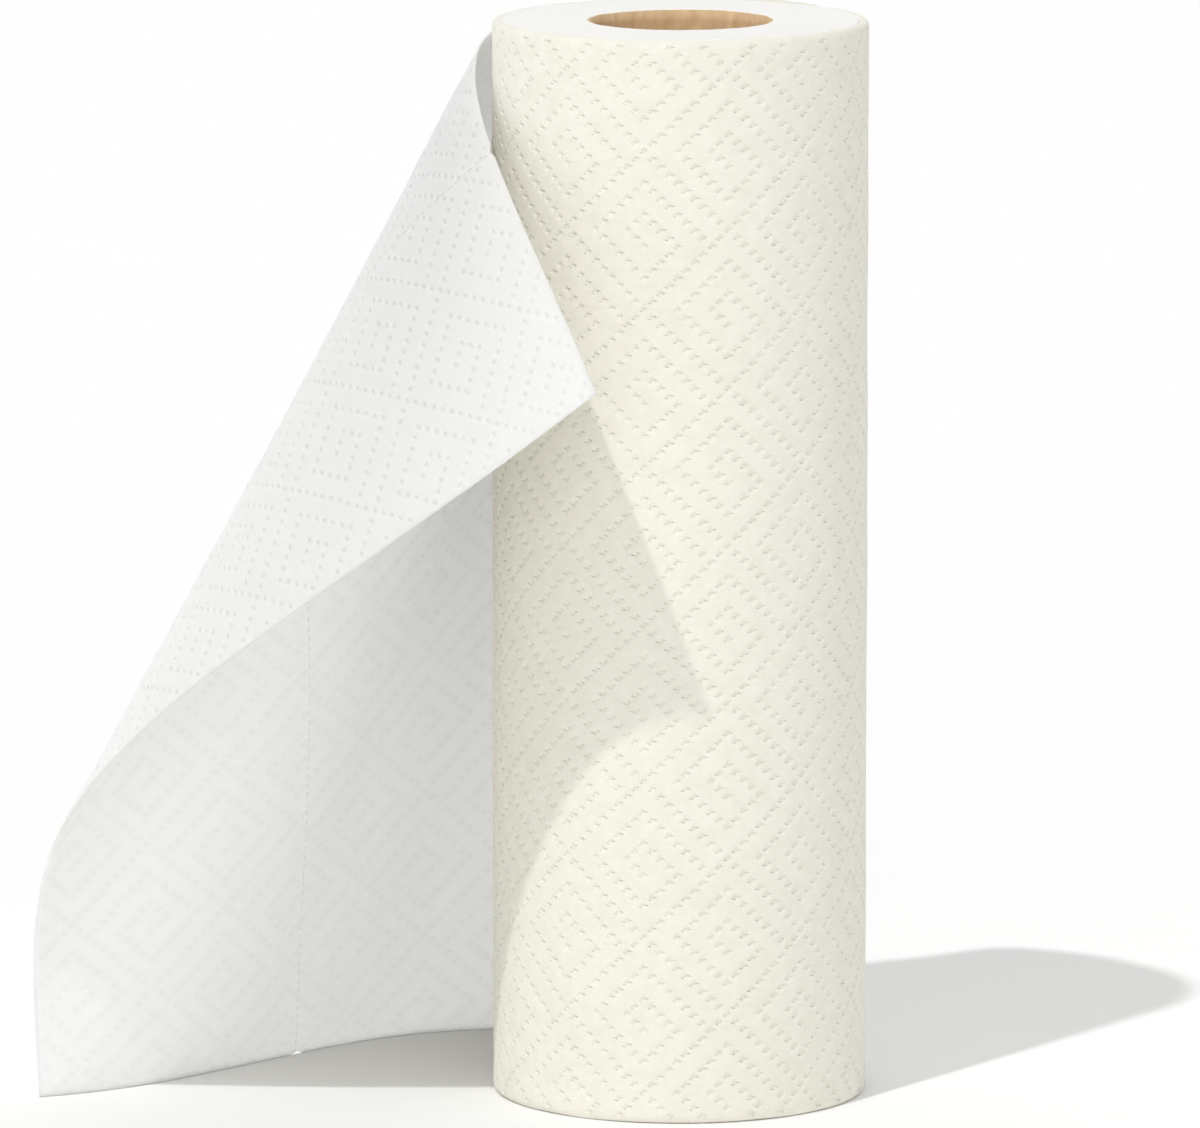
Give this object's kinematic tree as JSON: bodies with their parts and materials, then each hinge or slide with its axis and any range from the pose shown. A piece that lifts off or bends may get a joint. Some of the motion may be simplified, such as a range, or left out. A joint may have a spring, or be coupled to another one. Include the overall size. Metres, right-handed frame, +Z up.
{
  "type": "paper towel roll",
  "caption": "White embossed paper towel roll on a brown cardboard core, standing on end, with its last turn come loose and folded over at the side.",
  "frame": {"origin": "on the roll's axis, at its lower end", "axes": "+Z up along the roll's axis; the loose leaf stands out towards -X and its free corner hangs over towards -Y"},
  "size_m": [0.2153, 0.1657, 0.2791],
  "materials": {
    "tissue": "matte",
    "cardboard": "matte"
  },
  "bodies": {
    "root": {"paper_web": "tissue", "core_tube": "cardboard"}
  },
  "joints": []
}
